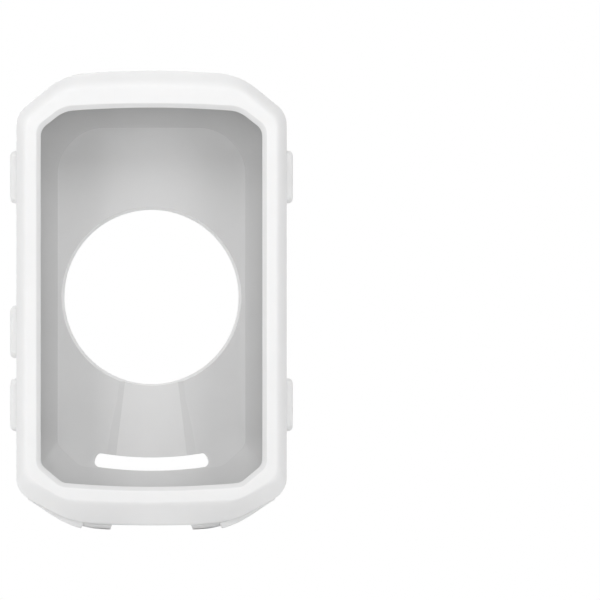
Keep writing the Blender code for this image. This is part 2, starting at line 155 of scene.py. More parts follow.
def draw_outline(mesh, outline, inset=0.0):
    """Draws a closed outline on the front plane and returns its vertices."""
    half, top, corner_1, top_side, bottom_side, corner_4, bottom, rounds = outline
    path = [flat((0.0, 2 * top - corner_1[1])), flat(corner_1), flat((half, top_side))]
    path += [flat((half, bottom_side)), flat(corner_4), flat((0.0, 2 * bottom - corner_4[1]))]
    bends = [corner_round(*path[i : i + 3], rounds[i]) for i in range(4)]
    older, older_edges = set(mesh.verts), set(mesh.edges)
    tip = bmesh.ops.create_vert(mesh, co=flat((0.0, top)))["vert"][0]
    tip = turn(mesh, tip, *crown_arc(top, bends[0][0]), CROWN_STEPS)
    for i, (start, centre, angle) in enumerate(bends):
        if i:
            tip = rule(mesh, tip, start, SIDE_STEPS if i == 2 else CUT_STEPS)
        tip = turn(mesh, tip, centre, angle, ROUND_STEPS)
    turn(mesh, tip, *crown_arc(bottom, tip.co), CROWN_STEPS)
    drawn = [v for v in mesh.verts if v not in older]
    drawn += [e for e in mesh.edges if e not in older_edges]
    bmesh.ops.mirror(mesh, geom=drawn, axis="X", merge_dist=NEAR)
    if inset:
        edges = [e for e in mesh.edges if e not in older_edges]
        face = bmesh.ops.edgeloop_fill(mesh, edges=edges)["faces"]
        face[0].normal_update()
        bmesh.ops.inset_region(
            mesh, faces=face, thickness=inset, use_boundary=True, use_even_offset=True
        )
        outer = [v for v in mesh.verts if v not in older and v not in face[0].verts]
        bmesh.ops.delete(mesh, geom=outer, context="VERTS")
        bmesh.ops.delete(mesh, geom=face, context="FACES_ONLY")
    return [v for v in mesh.verts if v not in older]


test = bmesh.new()
full, inner = draw_outline(test, RIM), draw_outline(test, RIM, WALL)
widths = [round(max(v.co.x for v in outline), 2) for outline in (full, inner)]
print(len(full), "points, half width and inset half width", widths, "mm")
test.free()

# %% [markdown]
# ## The profile of the skin
# The sleeve is a shell, so its skin is one closed sheet: it starts on the pocket floor, climbs the inside
# of the wall, folds round the lip over the screen edge, rolls over the bumper rim and comes back along the
# outside to the back plate. Each row is one outline of that sheet: its inset, its depth at the sides and at
# the bottom, and how much the fold there is rounded. A silicone mould has no knife edges, because the
# material couldn't be pulled out of them. The rim rolls over at the sides and the top and is nearly a flat
# slope at the bottom, and the chamfer bulges a little, so both get rows in between. Behind the rim the
# bottom steps out once more, which shows from the front as two feet, one on each side of the cut-out.

# %% List the rows of the skin
SLOPE_SKIN = 1.8
EDGE_SIDE, EDGE_BOTTOM = DEPTH - 0.7, DEPTH - 1.9
PLATE_SIDE, PLATE_BOTTOM, FLAT_EASE = DEPTH - 0.1, DEPTH - 0.6, 0.15
ROLL_SHARES = (0.06, 0.12, 0.18, 0.25, 0.375, 0.5, 0.625, 0.75, 0.875)
SIDE_POWER, BOTTOM_EASE = 2.2, 0.1
SWELL_STEPS, SWELL = 5, 0.35


def mix(first, second, share):
    """The row of sizes part of the way from one outline to another."""
    if isinstance(first, tuple):
        return tuple(mix(a, b, share) for a, b in zip(first, second))
    return first + (second - first) * share


def eased(share):
    """A ramp that starts level and soon runs straight."""
    return share - BOTTOM_EASE * (1 - math.exp(-share / BOTTOM_EASE))


def roll_row(share):
    bottom = RIM_DEPTH * eased(share) / eased(1.0)
    return mix(LAND_OUT, RIM, share), 0.0, RIM_DEPTH * share**SIDE_POWER, bottom, 0.0


def chamfer_row(share):
    side = mix(SHOULDER_DEPTH, EDGE_SIDE, share) + 4 * SWELL * share * (1 - share)
    return mix(SHOULDER, EDGE, share), 0.0, side, mix(SHOULDER_DEPTH, EDGE_BOTTOM, share), 0.0


rows = [
    (FLOOR_IN, 0.0, FLOOR, FLOOR, 0.0),
    (FLOOR_MID, 0.0, FLOOR, FLOOR - FLAT_EASE, 0.0),
    (FLOOR_OUT, 0.0, FLOOR - 0.04, PLATE_BOTTOM - SLOPE_SKIN, 0.0),
    (FLOOR_EDGE, 0.0, FLOOR - 0.12, EDGE_BOTTOM - SLOPE_SKIN, 0.2),
    (SHOULDER, WALL, SHOULDER_DEPTH - 0.7, SHOULDER_DEPTH - 0.7, 0.8),
    (RIM, WALL, RIM_DEPTH + 0.5, RIM_DEPTH + 0.5, 0.8),
    (LAND_OUT, 0.3, 2.8, 2.8, 0.5),
    (OPENING, 0.0, 1.8, 1.8, 0.3),
    (OPENING, 0.0, 0.9, 0.9, 0.22),
    (LAND_IN, 0.0, 0.0, 0.0, 0.22),
    (LAND_OUT, 0.0, 0.0, 0.0, 0.0),
    *[roll_row(share) for share in ROLL_SHARES],
    (RIM, 0.0, RIM_DEPTH, RIM_DEPTH, 0.5),
    (SOLE, 0.0, RIM_DEPTH + 1.2, RIM_DEPTH + 1.0, 0.0),
    (FOOT, 0.0, RIM_DEPTH + 2.1, RIM_DEPTH + 1.7, 0.2),
    (SHOULDER, 0.0, SHOULDER_DEPTH, SHOULDER_DEPTH, 0.6),
    *[chamfer_row(i / SWELL_STEPS) for i in range(1, SWELL_STEPS)],
    (EDGE, 0.0, EDGE_SIDE, EDGE_BOTTOM, 0.4),
    (PLATE_EDGE, 0.0, PLATE_SIDE, PLATE_BOTTOM, 0.3),
    (PLATE_MID, 0.0, DEPTH, DEPTH - FLAT_EASE, 0.0),
    (PLATE_IN, 0.0, DEPTH, DEPTH, 0.0),
]
print(len(rows), "rows, of which", sum(row[-1] > 0 for row in rows), "are rounded")

# %% [markdown]
# ## Bridging the rows
# bridge_loops joins each outline to the next one, and both ends are filled. It can't tell which way round
# two outlines on one plane belong together, so they are first stacked far apart, then bridged, and only
# then sunk to their depths. The depth changes from the sides to the bottom along an eased curve, so that no
# crease shows. The roundness of each fold is written to its edges as a bevel weight, because one Bevel
# modifier can then round all of them, each by its own share of the largest radius. The inside of the pocket
# is given painted shade and a rougher matt surface, most of all on the walls under the lip, so each face
# also gets its share of both, in an attribute that the material reads later.

# %% Bridge the rows into a shell
BLEND = 3.0
STACK = 100.0
LARGEST_FOLD = max(row[-1] for row in rows)
FLOOR_BANDS, WALL_BANDS = 4, 5
# Shares of painted shade, with a rougher matt surface, for the pocket floor, its walls and the lip.
FLOOR_SHADE_AND_MATT, WALL_SHADE_AND_MATT, LIP_SHADE_AND_MATT = 0.9, 1.4, 0.28


def sink(points, side, bottom, start, end):
    """Moves an outline to its depth, which eases from side to bottom between two heights."""
    for v in points:
        share = min(max((start - v.co.z) / (start - end), 0.0), 1.0)
        v.co.y = side + (bottom - side) * share * share * (3 - 2 * share)


def edges_within(points):
    """The edges between points, in a fixed order, so that each run gives the same mesh."""
    chosen = set(points)
    return list(dict.fromkeys(e for v in points for e in v.link_edges if e.other_vert(v) in chosen))


shell = bmesh.new()
fold = shell.edges.layers.float.new("bevel_weight_edge")
shade_and_matt_layer = shell.faces.layers.float.new("painted_shade_and_matt")
stack = []
for outline, inset, *_, radius in rows:
    stack.append(draw_outline(shell, outline, inset))
    bmesh.ops.translate(shell, verts=stack[-1], vec=(0.0, STACK * len(stack), 0.0))
    for edge in edges_within(stack[-1]):
        edge[fold] = radius / LARGEST_FOLD
bands = [bmesh.ops.edgeloop_fill(shell, edges=edges_within(stack[0]))]
for first, second in zip(stack, stack[1:]):
    bands.append(bmesh.ops.bridge_loops(shell, edges=edges_within(first) + edges_within(second)))
bands.append(bmesh.ops.edgeloop_fill(shell, edges=edges_within(stack[-1])))
# Painted shade and matt roughness, band by band: floor, walls, lip, and none on the outside.
painted_shade_and_matt = [FLOOR_SHADE_AND_MATT] * FLOOR_BANDS + [WALL_SHADE_AND_MATT] * WALL_BANDS + [LIP_SHADE_AND_MATT]
painted_shade_and_matt += [0.0] * (len(bands) - len(painted_shade_and_matt))
for band, share in zip(bands, painted_shade_and_matt):
    for face in band["faces"]:
        face[shade_and_matt_layer] = share
for points, (outline, _, side, bottom, _) in zip(stack, rows):
    sink(points, side, bottom, outline[4] + BLEND, outline[5][1])
open_edges = sum(not e.is_manifold for e in shell.edges)
marked = sum(f[shade_and_matt_layer] > 0 for f in shell.faces)
print(len(shell.faces), "faces, of which", marked, "are dull,", open_edges, "open edges")

# %% [markdown]
# ## Rounding the folds
# The bmesh becomes an object and the Bevel modifier is applied by reading the evaluated mesh back.

# %% Make the sleeve and round its folds
FOLD_SEGMENTS = 4


def place(name, mesh):
    """Makes an object of a bmesh that is drawn in millimetres."""
    bmesh.ops.recalc_face_normals(mesh, faces=mesh.faces)
    data = bpy.data.meshes.new(name)
    mesh.to_mesh(data)
    mesh.free()
    made = bpy.data.objects.new(name, data)
    bpy.context.scene.collection.objects.link(made)
    return made


def apply_modifiers(piece):
    graph = bpy.context.evaluated_depsgraph_get()
    piece.data = bpy.data.meshes.new_from_object(piece.evaluated_get(graph))
    piece.modifiers.clear()


sleeve = place("silicone_sleeve", shell)
soften = sleeve.modifiers.new("folds", "BEVEL")
soften.limit_method, soften.width, soften.segments = "WEIGHT", LARGEST_FOLD, FOLD_SEGMENTS
soften.use_clamp_overlap = True
apply_modifiers(sleeve)
box = [round(s, 2) for s in sleeve.dimensions]
print("sleeve:", len(sleeve.data.polygons), "faces, box", box, "mm")

# %% [markdown]
# ## Cutters
# The openings are cut from the finished skin, as a toolmaker would set cores into the mould. Each core is a
# simple solid. The core of the mount hole is a circle that is extruded and widened at both ends, since the
# hole has a sloping edge inside and a finer one outside. A cut face takes its share of painted shade and
# matt roughness from the core, so cores that reach the inside carry the same attribute.

# %% The core of the mount hole
HOLE_RADIUS, HOLE_SEGMENTS = 18.5, 160
SLOPING_EDGE, SLOPING_DEPTH = 1.2, 0.75
FINE_EDGE, FINE_DEPTH = 0.6, 0.3
# Painted shade, with a rougher matt surface, on the cut face of the hole inside the pocket.
RING_SHADE_AND_MATT = 0.3


def points_in(geometry):
    return [g for g in geometry if isinstance(g, bmesh.types.BMVert)]


def hole_core():
    core = bmesh.new()
    layer = core.faces.layers.float.new("painted_shade_and_matt")
    upright = Matrix.Translation((0.0, FLOOR - SLOPING_DEPTH, 0.0)) @ Matrix.Rotation(math.pi / 2, 4, "X")
    bmesh.ops.create_circle(
        core, radius=HOLE_RADIUS + SLOPING_EDGE, segments=HOLE_SEGMENTS, matrix=upright
    )
    ring = list(core.edges)
    steps = ((0.0, FLOOR + SLOPING_DEPTH), (0.0, DEPTH - FINE_DEPTH), (FINE_EDGE, DEPTH + FINE_DEPTH))
    for wider, depth in steps:
        grown = bmesh.ops.extrude_edge_only(core, edges=ring)["geom"]
        ring = [g for g in grown if isinstance(g, bmesh.types.BMEdge)]
        for v in points_in(grown):
            out = Vector((v.co.x, 0.0, v.co.z)).normalized() * (HOLE_RADIUS + wider)
            v.co = (out.x, depth, out.z)
    for face in core.faces:
        face[layer] = RING_SHADE_AND_MATT if max(v.co.y for v in face.verts) < DEPTH - PLATE / 2 else 0.0
    bmesh.ops.holes_fill(core, edges=core.edges, sides=0)
    return place("hole_core", core)


cores = [hole_core()]
print("hole core faces:", len(cores[0].data.polygons))

# %% [markdown]
# ## The arm channel
# Below the hole the case is thinned so that the arm of a handlebar mount can pass: a channel with a flat
# floor and sloping walls from behind, and a very shallow hollow with wide sloping sides from inside. Both
# widen downwards and run into the slot. Each core is a four cornered face that is extruded and spread
# sideways by its draft. Only the hollow is inside, so only its core carries painted shade and matt
# roughness.

# %% The cores of the channel and of the hollow inside it
CHANNEL_TOP, CHANNEL_BOTTOM, HOLLOW_BOTTOM = -15.0, -35.2, -34.4


def channel_core(name, half, flare, draft, depth, rise, bottom, floor_shade_and_matt, wall_shade_and_matt):
    core = bmesh.new()
    layer = core.faces.layers.float.new("painted_shade_and_matt")
    low = half + flare * (CHANNEL_TOP - bottom)
    corners = ((-half, CHANNEL_TOP), (half, CHANNEL_TOP), (low, bottom), (-low, bottom))
    face = core.faces.new([core.verts.new((x, depth, z)) for x, z in corners])
    grown = bmesh.ops.extrude_face_region(core, geom=[face])["geom"]
    for v in points_in(grown):
        v.co.y += rise
        v.co.x += math.copysign(abs(rise) * draft, v.co.x)
    for side in core.faces:
        side[layer] = wall_shade_and_matt
    face[layer] = floor_shade_and_matt
    return place(name, core)


channel = {"half": 5.3, "flare": 0.264, "draft": 1.25, "depth": DEPTH - 1.3, "rise": 2.6}
hollow = {"half": 5.25, "flare": 0.122, "draft": 4.0, "depth": FLOOR + 0.3, "rise": -2.2}
# The hollow inside gets painted shade, with a rougher matt surface, on its floor and walls; the channel
# gets none.
cores += [
    channel_core("channel_core", **channel, bottom=CHANNEL_BOTTOM, floor_shade_and_matt=0.0, wall_shade_and_matt=0.0),
    channel_core("hollow_core", **hollow, bottom=HOLLOW_BOTTOM, floor_shade_and_matt=0.72, wall_shade_and_matt=1.03),
]
print("channel from", CHANNEL_TOP, "to", CHANNEL_BOTTOM, "mm")

# %% [markdown]
# ## Slot, bottom cut-out and lanyard notch
# All three start as a cube. The slot gets round ends, is cut into slices and bent into a shallow bow, and
# its lower side falls away behind, which shows as a darker band under it. The cut-out spreads downwards,
# has round upper corners and ends in front at the inside of the rim, which gets painted shade and a rougher
# matt surface. The notch is turned to run off the lower corner.

# %% The cores of the three small openings
SLOT_HALF, SLOT_HEIGHT, SLOT_Z, SLOT_SAG, SLOT_DRAFT = 12.1, 2.6, -35.4, 0.9, 1.05
SLOT_FRONT, SLOT_BEND, SLOT_BACK = DEPTH - 8.0, DEPTH - 4.0, DEPTH + 2.0
SLOT_ROUND, SLOT_SLICES, SLICE = SLOT_HEIGHT / 2 - 0.02, 8, 1.3
CUTOUT_WIDTH, CUTOUT_HEIGHT, CUTOUT_Z = 14.4, 8.0, -49.7
CUTOUT_FRONT, CUTOUT_BACK = RIM_DEPTH + 0.9, DEPTH + 2.5
# The last of these gives painted shade, with a rougher matt surface, to the cut face at the inside of the
# rim.
CUTOUT_FLARE, CUTOUT_ROUND, CUTOUT_SHADE_AND_MATT = 0.43, 1.1, 0.7
NOTCH_SIZE, NOTCH_MIDDLE, NOTCH_ROUND = (3.5, 11.0, 13.0), (0.0, 16.4, -3.9), 0.6
NOTCH_PLACE, NOTCH_TILT = (-22.4, 0.0, -42.0), math.radians(28.0)


def block(size, middle):
    mesh = bmesh.new()
    shape = Matrix.Translation(middle) @ Matrix.Diagonal((*size, 1.0))
    bmesh.ops.create_cube(mesh, size=1.0, matrix=shape)
    return mesh


def slice_at(mesh, point, normal, clear=False):
    """Cuts a mesh by a plane, and takes away what is on the side of the normal if clear is set."""
    whole = list(mesh.verts) + list(mesh.edges) + list(mesh.faces)
    bmesh.ops.bisect_plane(mesh, geom=whole, plane_co=point, plane_no=normal, clear_outer=clear)


def round_edges(mesh, chosen, radius, segments):
    bmesh.ops.bevel(
        mesh,
        geom=[e for e in mesh.edges if chosen(e)],
        offset=radius,
        offset_type="OFFSET",
        segments=segments,
        profile=0.5,
        affect="EDGES",
        material=-1,
        clamp_overlap=True,
    )


def runs_along(axis):
    """A test for edges that run along one axis."""
    other = [i for i in range(3) if i != axis]
    return lambda e: all(abs(e.verts[0].co[i] - e.verts[1].co[i]) < NEAR for i in other)


def upper_along(axis, level):
    """A test for edges that run along one axis above a level."""
    along = runs_along(axis)
    return lambda e: along(e) and e.verts[0].co.z > level


def slot_core():
    size = (2 * SLOT_HALF, SLOT_BACK - SLOT_FRONT, SLOT_HEIGHT)
    core = block(size, (0.0, (SLOT_BACK + SLOT_FRONT) / 2, SLOT_Z))
    round_edges(core, runs_along(1), SLOT_ROUND, segments=6)
    for i in range(-SLOT_SLICES, SLOT_SLICES + 1):
        slice_at(core, (i * SLICE, 0, 0), (1, 0, 0))
    slice_at(core, (0, SLOT_BEND, 0), (0, 1, 0))
    reach = SLOT_HALF - SLOT_HEIGHT / 2
    for v in core.verts:
        below = min(max(0.5 + (SLOT_Z - v.co.z) / SLOT_HEIGHT, 0.0), 1.0)
        if v.co.y > SLOT_BEND + NEAR:
            v.co.z -= below * (SLOT_BACK - SLOT_BEND) * SLOT_DRAFT
        v.co.z += SLOT_SAG * min(abs(v.co.x) / reach, 1.0) ** 2
    return place("slot_core", core)


def cutout_core():
    size = (CUTOUT_WIDTH, CUTOUT_BACK - CUTOUT_FRONT, CUTOUT_HEIGHT)
    core = block(size, (0.0, (CUTOUT_FRONT + CUTOUT_BACK) / 2, CUTOUT_Z))
    layer = core.faces.layers.float.new("painted_shade_and_matt")
    # Painted shade, with a rougher matt surface, on the front face, which becomes the cut face inside the
    # rim.
    min(core.faces, key=lambda f: f.calc_center_median().y)[layer] = CUTOUT_SHADE_AND_MATT
    for v in core.verts:
        if v.co.z < CUTOUT_Z:
            v.co.x += math.copysign(CUTOUT_FLARE * CUTOUT_HEIGHT, v.co.x)
    round_edges(core, upper_along(1, CUTOUT_Z), CUTOUT_ROUND, segments=5)
    return place("cutout_core", core)


def notch_core():
    core = block(NOTCH_SIZE, NOTCH_MIDDLE)
    round_edges(core, upper_along(1, 0.0), NOTCH_ROUND, segments=4)
    tilt = Matrix.Translation(NOTCH_PLACE) @ Matrix.Rotation(NOTCH_TILT, 4, "Y")
    bmesh.ops.transform(core, matrix=tilt, verts=core.verts)
    return place("notch_core", core)


cores += [slot_core(), cutout_core(), notch_core()]
print("cores:", [c.name for c in cores])

# %% [markdown]
# ## Hollows round the pads
# Each pad on the side sits in a very shallow oval hollow, where the wall is thinned so that the pad can be
# pushed in. Its floor has the same slope as the wall, so its core is turned by the wall's draft.

# %% The cores of the hollows
PAD_DEPTH, PAD_WIDTH, PAD_LENGTH = 7.7, 4.2, 11.2
LEFT_PADS = {"upper_left_pad": 25.5, "middle_left_pad": -7.4, "lower_left_pad": -22.9}
RIGHT_PADS = {"upper_right_pad": 25.5, "lower_right_pad": -22.9}
SIDE_PADS = [(name, -1, z) for name, z in LEFT_PADS.items()]
SIDE_PADS += [(name, 1, z) for name, z in RIGHT_PADS.items()]
WALL_DEPTH = SHOULDER_DEPTH - RIM_DEPTH
WALL_SLOPE = math.atan((RIM[0] - SHOULDER[0]) / WALL_DEPTH)
WALL_HALF = RIM[0] + (SHOULDER[0] - RIM[0]) * (PAD_DEPTH - RIM_DEPTH) / WALL_DEPTH
HOLLOW_DEPTH, HOLLOW_BESIDE, HOLLOW_BEYOND, HOLLOW_CORNER = 0.28, 1.875, 2.5, 2.4
MIRROR = Matrix.Diagonal((-1.0, 1.0, 1.0, 1.0))


def on_wall(mesh, side, height):
    """Moves a mesh drawn round the origin, with +X outwards, onto the side wall."""
    lie = Matrix.Translation((WALL_HALF, PAD_DEPTH, height)) @ Matrix.Rotation(WALL_SLOPE, 4, "Z")
    if side < 0:
        lie = MIRROR @ lie
    bmesh.ops.transform(mesh, matrix=lie, verts=mesh.verts)


def hollow_core(name, side, height):
    tall, width, length = 4.0, PAD_WIDTH + HOLLOW_BESIDE, PAD_LENGTH + HOLLOW_BEYOND
    core = block((tall, width, length), (tall / 2 - HOLLOW_DEPTH, 0.0, 0.0))
    round_edges(core, runs_along(0), HOLLOW_CORNER, segments=8)
    on_wall(core, side, height)
    return place(name + "_hollow", core)


cores += [hollow_core(*pad) for pad in SIDE_PADS]
slope = round(math.degrees(WALL_SLOPE), 1)
print("wall slope", slope, "degrees, half width there", round(WALL_HALF, 2), "mm")

# %% [markdown]
# ## Cutting, and the finished sleeve
# The exact Boolean takes the cores away one by one and each core is then removed. It leaves points in the
# middle of some edges, which are taken out, because they would fold when the mesh is made of triangles. The
# cut faces meet the skin in sharp lines, so edges over thirty degrees are marked sharp and a Weighted
# Normal modifier keeps the large faces flat in shading. Last the mesh goes from millimetres to metres, into
# the frame of the CAD model, whose origin is on the pocket floor.

# %% Cut the openings
MM = 0.001
SHARP_ANGLE, NORMAL_WEIGHT = math.radians(30.0), 80


def carve(body, core):
    cut = body.modifiers.new("cut", "BOOLEAN")
    cut.operation, cut.solver, cut.object = "DIFFERENCE", "EXACT", core
    apply_modifiers(body)
    bpy.data.objects.remove(core)


def to_frame(piece):
    """Moves a piece from the drawing in millimetres to the frame of the CAD model."""
    piece.data.transform(Matrix.Scale(MM, 4) @ Matrix.Translation((0.0, -FLOOR, 0.0)))
    piece.data.shade_smooth()
    piece.data.set_sharp_from_angle(angle=SHARP_ANGLE)
    weigh = piece.modifiers.new("weighted_normals", "WEIGHTED_NORMAL")
    weigh.keep_sharp = True
    weigh.weight = NORMAL_WEIGHT


def drop_spare_points(body):
    """Takes out the points that the cuts leave in the middle of an edge."""
    mesh = bmesh.new()
    mesh.from_mesh(body.data)
    spare = [v for v in mesh.verts if len(v.link_edges) == 2]
    bmesh.ops.dissolve_verts(mesh, verts=spare)
    mesh.to_mesh(body.data)
    mesh.free()
    return len(spare)


for core in cores:
    carve(sleeve, core)
print("spare points taken out:", drop_spare_points(sleeve))
to_frame(sleeve)
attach(sleeve, "sleeve")
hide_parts("sleeve")
check = bmesh.new()
check.from_mesh(sleeve.data)
open_edges = sum(not e.is_manifold for e in check.edges)
print("sleeve:", len(check.faces), "faces,", open_edges, "open edges")
check.free()

# %% [markdown]
# ## The pads on the sides
# A pad is a small block with round corners and a domed edge. On the real case it is one with the wall, so
# here its foot is sunk into the wall, deep enough to hide the joint and shallow enough that it stays inside
# the wall when the pad is pressed. The foot spreads a little, as the fillet round a moulded pad does. In
# the photo the pads are a little greyer than the rim, so they get a little painted shade, with a rougher
# matt surface.

# %% Make the side pads
PAD_PROUD, PAD_FOOT = 1.06, 0.75
PAD_CORNER, PAD_DOME, PAD_FILLET = 1.5, 0.9, 0.3
# Painted shade, with a rougher matt surface, on the pads.
PAD_SHADE_AND_MATT = 0.25


def finish_pad(made, name):
    """Moves a pad to the frame, gives it its painted shade and matt roughness and hands it over."""
    to_frame(made)
    shade_and_matt_layer = made.data.attributes.new("painted_shade_and_matt", "FLOAT", "FACE")
    shade_and_matt_layer.data.foreach_set("value", [PAD_SHADE_AND_MATT] * len(made.data.polygons))
    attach(made, name)
    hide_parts(name)
    return made


def flare_foot(mesh, level, spread):
    """Spreads the part of a pad below a level, seen from its middle."""
    for share in (0.0, 0.5):
        slice_at(mesh, (level + share * spread, 0, 0), (1, 0, 0))
    for v in mesh.verts:
        grow = min(max((level + spread - v.co.x) / spread, 0.0), 1.0) ** 2 * spread
        v.co += Vector((0.0, math.copysign(grow, v.co.y), math.copysign(grow, v.co.z)))


def side_pad(name, side, height):
    proud = RIM[0] + PAD_PROUD - WALL_HALF
    size = (proud + PAD_FOOT, PAD_WIDTH, PAD_LENGTH)
    pad = block(size, ((proud - PAD_FOOT) / 2, 0.0, 0.0))
    round_edges(pad, runs_along(0), PAD_CORNER, segments=7)
    outer = max(pad.faces, key=lambda f: f.calc_center_median().x)
    rim_edges = set(outer.edges)
    round_edges(pad, lambda e: e in rim_edges, PAD_DOME, segments=6)
    flare_foot(pad, -HOLLOW_DEPTH, PAD_FILLET)
    on_wall(pad, side, height)
    return finish_pad(place("silicone_" + name, pad), name)


pads = [side_pad(*pad) for pad in SIDE_PADS]
print("side pads:", [p.name for p in pads])

# %% [markdown]
# ## The pads on the lower corners
# These two follow the curve of the wall. The wall's own outline at the depth of the pads is drawn once more
# and all of it is cut away but the stretch under the pad. That line is extruded outwards into a strip,
# which is turned a little about its inner end, because the pad runs out to almost nothing at the side. The
# strip is extruded along the depth into a solid, whose edges are then rounded. The foot follows the slope
# of the wall, so that a pressed pad doesn't come out on the inside.

# %% Make the corner pads
CORNER_LEAN = math.radians(23.6)
CORNER_INNER, CORNER_OUTER, CORNER_PROUD = 14.5, 26.3, 1.05
CORNER_TAPER = math.radians(-3.2)
CORNER_DRAFT = 0.36
CORNER_ROUND, CORNER_SHARP = 0.3, math.radians(40.0)


def corner_pad(name, side):
    pad = bmesh.new()
    draw_outline(pad, mix(RIM, SHOULDER, (PAD_DEPTH - RIM_DEPTH) / WALL_DEPTH))
    for end, away in ((CORNER_INNER, -1), (CORNER_OUTER, 1)):
        slice_at(pad, (end, 0, 0), (away, 0, 0), clear=True)
    upper = [v for v in pad.verts if v.co.z > 0]
    bmesh.ops.delete(pad, geom=upper, context="VERTS")
    out = Vector((math.sin(CORNER_LEAN), 0.0, -math.cos(CORNER_LEAN)))
    bmesh.ops.translate(pad, verts=pad.verts, vec=-out * PAD_FOOT)
    grown = bmesh.ops.extrude_edge_only(pad, edges=list(pad.edges))["geom"]
    strip = points_in(grown)
    bmesh.ops.translate(pad, verts=strip, vec=out * (PAD_FOOT + CORNER_PROUD))
    inner_end = min(strip, key=lambda v: v.co.x).co.copy()
    taper = Matrix.Rotation(CORNER_TAPER, 3, "Y")
    bmesh.ops.rotate(pad, verts=strip, cent=inner_end, matrix=taper)
    foot = [v.co.copy() for v in pad.verts if v not in strip]
    grown = bmesh.ops.extrude_face_region(pad, geom=list(pad.faces))["geom"]
    deep = points_in(grown)
    deep_foot = [v for v in deep if min((v.co - f).length for f in foot) < NEAR]
    bmesh.ops.translate(pad, verts=deep_foot, vec=out * CORNER_DRAFT)
    bmesh.ops.translate(pad, verts=deep, vec=(0.0, PAD_WIDTH, 0.0))
    bmesh.ops.translate(pad, verts=pad.verts, vec=(0.0, PAD_DEPTH - PAD_WIDTH / 2, 0.0))
    bmesh.ops.recalc_face_normals(pad, faces=pad.faces)
    round_edges(pad, lambda e: e.calc_face_angle(0.0) > CORNER_SHARP, CORNER_ROUND, segments=4)
    if side < 0:
        bmesh.ops.transform(pad, matrix=MIRROR, verts=pad.verts)
    return finish_pad(place("silicone_" + name, pad), name)


pads += [corner_pad("bottom_left_pad", -1), corner_pad("bottom_right_pad", 1)]
print("pads in all:", len(pads))

# %% [markdown]
# ## Nodes in short
# A material is a tree of nodes, and three kinds come back again and again: a noise, a ramp that carries one
# span of values over to another, and a calculation with two values. Each gets a short function that adds
# the node, links it and returns its result.

# %% Short functions for nodes
NOISE_ROUGHNESS = 0.55


def noise(tree, where, scale, detail):
    made = tree.nodes.new("ShaderNodeTexNoise")
    made.inputs["Scale"].default_value = scale
    made.inputs["Detail"].default_value = detail
    made.inputs["Roughness"].default_value = NOISE_ROUGHNESS
    tree.links.new(where, made.inputs["Vector"])
    return made.outputs["Fac"]


def ramp(tree, value, span, result, kind="LINEAR"):
    """Carries a span of a value over to a span of results, and holds both ends."""
    made = tree.nodes.new("ShaderNodeMapRange")
    made.interpolation_type = kind
    for end, before, after in zip(("Min", "Max"), span, result):
        made.inputs["From " + end].default_value = before
        made.inputs["To " + end].default_value = after
    tree.links.new(value, made.inputs["Value"])
    return made.outputs["Result"]


def combine(tree, operation, first, second):
    made = tree.nodes.new("ShaderNodeMath")
    made.operation = operation
    tree.links.new(first, made.inputs[0])
    tree.links.new(second, made.inputs[1])
    return made.outputs["Value"]


print("short functions:", [made.__name__ for made in (noise, ramp, combine)])

# %% [markdown]
# ## White silicone
# Moulded silicone is matt and a little waxy: light enters it, spreads for about a millimetre and comes out
# soft. Subsurface on the shader gives that. Its surface has the fine grain of a blasted mould and takes up
# a little dust, so a small noise drives bump, a larger one the roughness and a slow one the colour.
# A share of painted shade darkens the colour, and the same share makes the surface rougher. It is read from
# the attribute of the faces, weakens from the lip to the floor of the pocket and is held down on the slope
# at the pocket's lower end. A Bevel node rounds the cut edges in shading. Everything reads Object
# coordinates, so the pattern stays on the piece.

# %% Build the silicone material
WHITE = (0.9, 0.9, 0.9, 1.0)
DUSTY = (0.885, 0.885, 0.885, 1.0)
DUST_SPREAD = (0.35, 0.62)
SILICONE = {
    "Subsurface Weight": 0.2,
    "Subsurface Radius": (1.0, 0.95, 0.9),
    "Subsurface Scale": 0.0008,
    "Specular IOR Level": 0.35,
    "Sheen Weight": 0.05,
    "Sheen Roughness": 0.5,
}
DUST_NOISE, GLOSS_NOISE, GRAIN_NOISE = (95.0, 3.0), (420.0, 4.0), (3800.0, 2.0)
GLOSS_SPREAD, ROUGHNESS = (0.3, 0.7), (0.46, 0.58)
EDGE_RADIUS, EDGE_SAMPLES = 0.00018, 4
GRAIN_STRENGTH, GRAIN_HEIGHT = 0.08, 0.00004
# Painted shade: the grey that the base colour is multiplied towards, and the roughness that comes with it.
PAINTED_SHADE_GREY = (0.66, 0.66, 0.66, 1.0)
DULL_ROUGHNESS = 0.15
# Painted shade and matt roughness weaken with depth from under the lip to the pocket floor, and are held
# down on the lower slope.
UNDER_LIP, POCKET_FLOOR = -0.005, 0.0
SHADE_AND_MATT_UNDER_LIP, SHADE_AND_MATT_ON_FLOOR = 0.88, 0.69
SLOPE_END, SLOPE_TOP = -0.035, -0.028
SHADE_AND_MATT_ON_SLOPE = 1.05


def shade_and_matt_share(tree, where):
    """The share of painted shade and matt roughness of a face, weaker with depth and held down on the lower
    slope.
    """
    marked = tree.nodes.new("ShaderNodeAttribute")
    marked.attribute_name = "painted_shade_and_matt"
    axes = tree.nodes.new("ShaderNodeSeparateXYZ")
    tree.links.new(where, axes.inputs["Vector"])
    deep = ramp(tree, axes.outputs["Y"], (UNDER_LIP, POCKET_FLOOR), (SHADE_AND_MATT_UNDER_LIP, SHADE_AND_MATT_ON_FLOOR))
    low = ramp(tree, axes.outputs["Z"], (SLOPE_END, SLOPE_TOP), (SHADE_AND_MATT_ON_SLOPE, WALL_SHADE_AND_MATT), "SMOOTHSTEP")
    return combine(tree, "MULTIPLY", combine(tree, "MINIMUM", marked.outputs["Fac"], low), deep)


